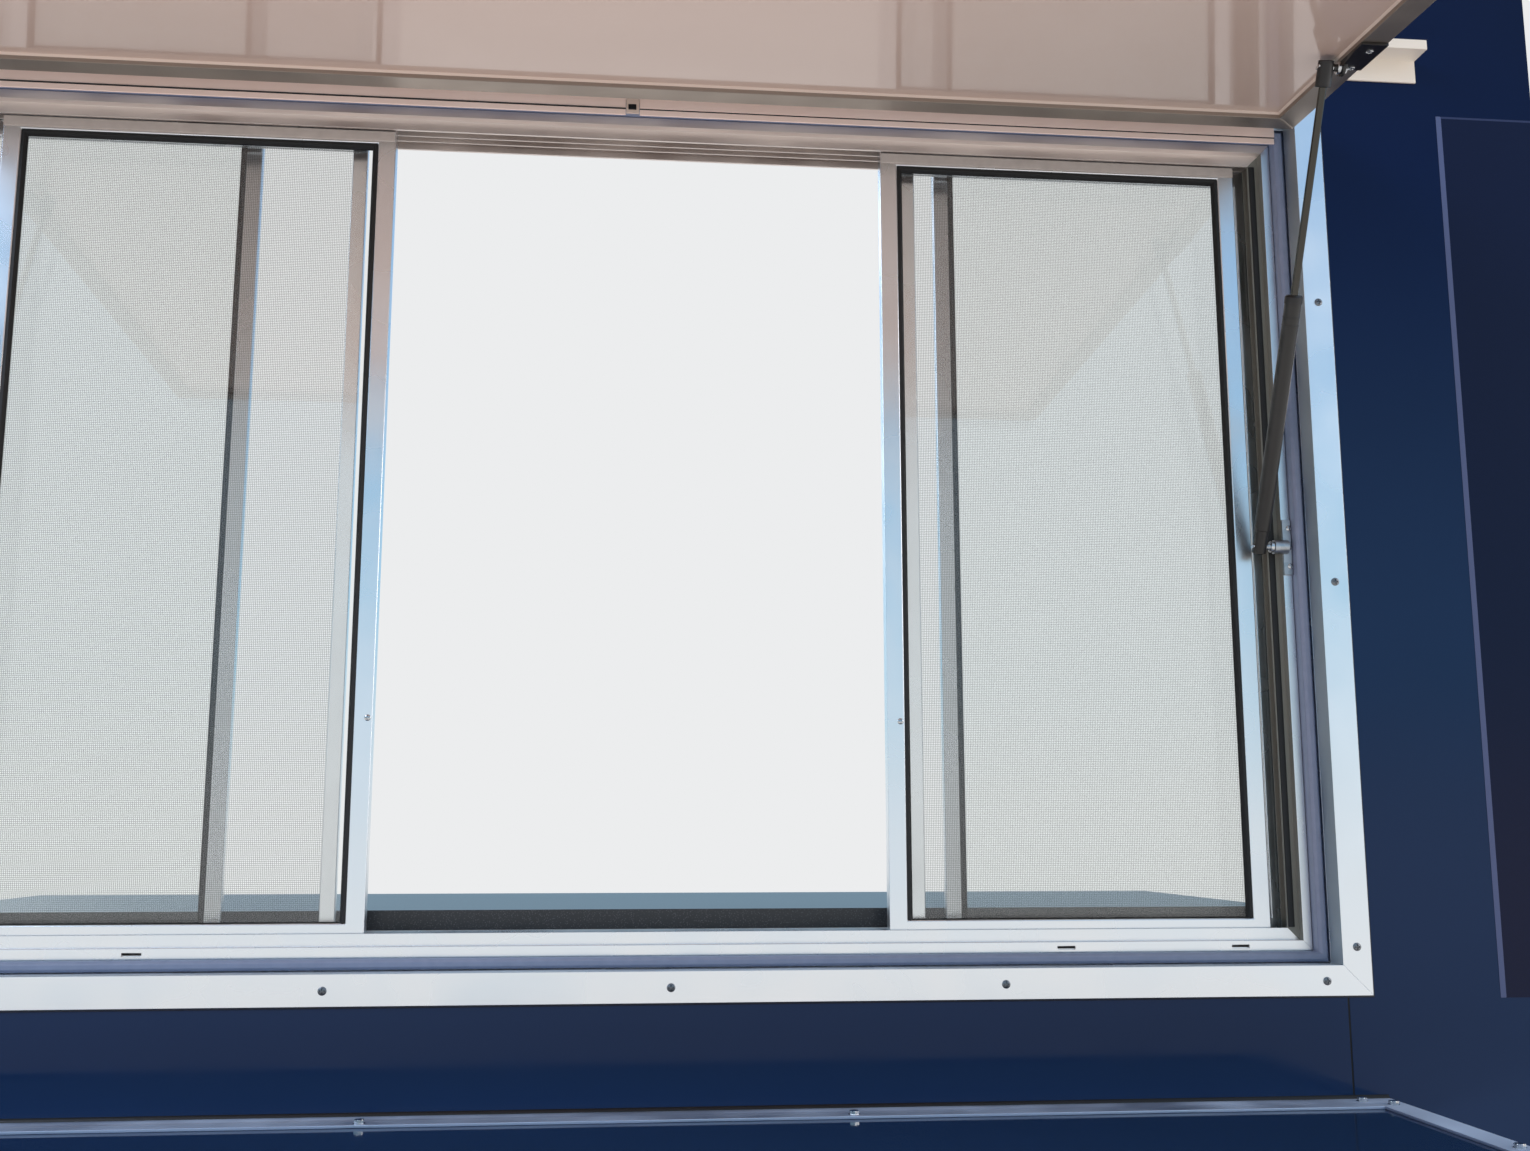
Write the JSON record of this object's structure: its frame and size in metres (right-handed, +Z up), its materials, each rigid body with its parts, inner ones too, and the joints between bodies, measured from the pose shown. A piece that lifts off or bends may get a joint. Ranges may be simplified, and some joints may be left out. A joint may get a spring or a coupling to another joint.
{
  "type": "food truck serving window wall section",
  "caption": "Side wall bay of a food truck with a sliding serving window, a lift-up hatch on gas struts, a rain gutter, a fold-down outside shelf and an inside counter.",
  "frame": {"origin": "middle of the floor rail's underside, in the middle of the wall's thickness", "axes": "+X along the wall, +Y from the street into the truck, +Z up"},
  "size_m": [2.16, 1.5403, 2.05],
  "materials": {
    "navy_paint": "glossy navy enamel on aluminium sheet",
    "mill_aluminium": "mill finish extrusion, lightly brushed",
    "white_coating": "white coated sheet",
    "gloss_lining": "glossy off-white sheet",
    "foam_core": "rigid foam and framing",
    "clear_glass": "clear float glass",
    "insect_mesh": "woven insect screen",
    "seal_rubber": "slate grey rubber bulb seal, darker glazing gaskets",
    "strut_black": "black enamel",
    "strut_rod": "dark polished rod",
    "zinc_steel": "zinc plated steel",
    "latch_steel": "polished stainless steel",
    "dark_laminate": "dark laminate"
  },
  "bodies": {
    "wall": {"outer_skin_left": "navy_paint", "outer_skin_right": "navy_paint", "outer_skin_below": "navy_paint", "outer_skin_above": "navy_paint", "trim_left": "mill_aluminium", "trim_right": "mill_aluminium", "trim_top": "mill_aluminium", "trim_bottom": "mill_aluminium", "window_head": "mill_aluminium", "window_sill": "mill_aluminium", "window_jamb_left": "mill_aluminium", "window_jamb_right": "mill_aluminium", "fixed_left_frame": "mill_aluminium", "fixed_right_frame": "mill_aluminium", "opening_liner": "mill_aluminium", "inner_casing": "mill_aluminium", "head_strips": "mill_aluminium", "roof_rail": "mill_aluminium", "floor_rail": "mill_aluminium", "hinge_frame_leaf": "mill_aluminium", "shelf_rail": "mill_aluminium", "shelf_rail_leaf": "mill_aluminium", "inner_lining": "white_coating", "rain_gutter": "white_coating", "wall_core": "foam_core", "fixed_left_glass": "clear_glass", "fixed_right_glass": "clear_glass", "hatch_seal": "seal_rubber", "strut_anchors": "zinc_steel", "shelf_channels": "zinc_steel", "counter_brackets": "zinc_steel", "end_posts": "zinc_steel", "inner_counter": "dark_laminate"},
    "hatch": {"hatch_frame": "mill_aluminium", "hatch_outer_skin": "navy_paint", "hatch_inner_skin": "gloss_lining", "hatch_strut_brackets": "zinc_steel", "hatch_latches": "latch_steel", "hinge_hatch_leaf": "mill_aluminium"},
    "strut_left_cylinder": {"strut_left_cylinder": "strut_black"},
    "strut_left_rod": {"strut_left_rod": "strut_rod", "strut_left_eye": "strut_black"},
    "strut_right_cylinder": {"strut_right_cylinder": "strut_black"},
    "strut_right_rod": {"strut_right_rod": "strut_rod", "strut_right_eye": "strut_black"},
    "slider_left": {"slider_left_frame": "mill_aluminium", "slider_left_glass": "clear_glass"},
    "slider_right": {"slider_right_frame": "mill_aluminium", "slider_right_glass": "clear_glass"},
    "screen_left": {"screen_left_frame": "mill_aluminium", "screen_left_mesh": "insect_mesh"},
    "screen_right": {"screen_right_frame": "mill_aluminium", "screen_right_mesh": "insect_mesh"},
    "shelf": {"shelf_top": "navy_paint", "shelf_rim": "mill_aluminium", "shelf_leaf": "mill_aluminium", "shelf_lugs": "zinc_steel"},
    "shelf_link_left": {"shelf_link_left": "zinc_steel"},
    "shelf_link_right": {"shelf_link_right": "zinc_steel"}
  },
  "joints": [
    {"name": "hatch_hinge", "type": "hinge", "parent": "wall", "child": "hatch", "pos_m": [0, -0.047, 1.836], "axis": [1, 0, 0], "range_deg": [0, 86.8]},
    {"name": "strut_left_swing", "type": "hinge", "parent": "hatch", "child": "strut_left_rod", "pos_m": [-0.73, -0.2277, 1.78984], "axis": [1, 0, 0], "range_deg": [-111.37, 0.5]},
    {"name": "strut_left_stroke", "type": "slide", "parent": "strut_left_rod", "child": "strut_left_cylinder", "axis": [0, -0.4323, 0.9017], "range_m": [-0.0005, 0.18902]},
    {"name": "strut_right_swing", "type": "hinge", "parent": "hatch", "child": "strut_right_rod", "pos_m": [0.73, -0.2277, 1.78984], "axis": [1, 0, 0], "range_deg": [-111.37, 0.5]},
    {"name": "strut_right_stroke", "type": "slide", "parent": "strut_right_rod", "child": "strut_right_cylinder", "axis": [0, -0.4323, 0.9017], "range_m": [-0.0005, 0.18902]},
    {"name": "slider_left_slide", "type": "slide", "parent": "wall", "child": "slider_left", "axis": [1, 0, 0], "range_m": [-0.062, 0.2575]},
    {"name": "slider_right_slide", "type": "slide", "parent": "wall", "child": "slider_right", "axis": [1, 0, 0], "range_m": [-0.2965, 0.023]},
    {"name": "screen_left_slide", "type": "slide", "parent": "wall", "child": "screen_left", "axis": [1, 0, 0], "range_m": [-0.028, 0.2915]},
    {"name": "screen_right_slide", "type": "slide", "parent": "wall", "child": "screen_right", "axis": [1, 0, 0], "range_m": [-0.3235, 0.004]},
    {"name": "shelf_hinge", "type": "hinge", "parent": "wall", "child": "shelf", "pos_m": [0, -0.072, 0.688], "axis": [1, 0, 0], "range_deg": [0, 90]},
    {"name": "shelf_link_left_fold", "type": "hinge", "parent": "shelf", "child": "shelf_link_left", "pos_m": [-0.6, -0.272, 0.68], "axis": [1, 0, 0], "range_deg": [-135.74, 0.5]},
    {"name": "shelf_link_right_fold", "type": "hinge", "parent": "shelf", "child": "shelf_link_right", "pos_m": [0.6, -0.272, 0.68], "axis": [1, 0, 0], "range_deg": [-135.74, 0.5]}
  ],
  "couplings": [
    {"joint": "strut_left_swing", "follows": "hatch_hinge", "ratio": -1.2773},
    {"joint": "strut_left_stroke", "follows": "hatch_hinge", "m_per_rad": 0.12411},
    {"joint": "shelf_link_left_fold", "follows": "shelf_hinge", "ratio": -1.5027},
    {"joint": "strut_right_swing", "follows": "hatch_hinge", "ratio": -1.2773},
    {"joint": "strut_right_stroke", "follows": "hatch_hinge", "m_per_rad": 0.12411},
    {"joint": "shelf_link_right_fold", "follows": "shelf_hinge", "ratio": -1.5027}
  ]
}
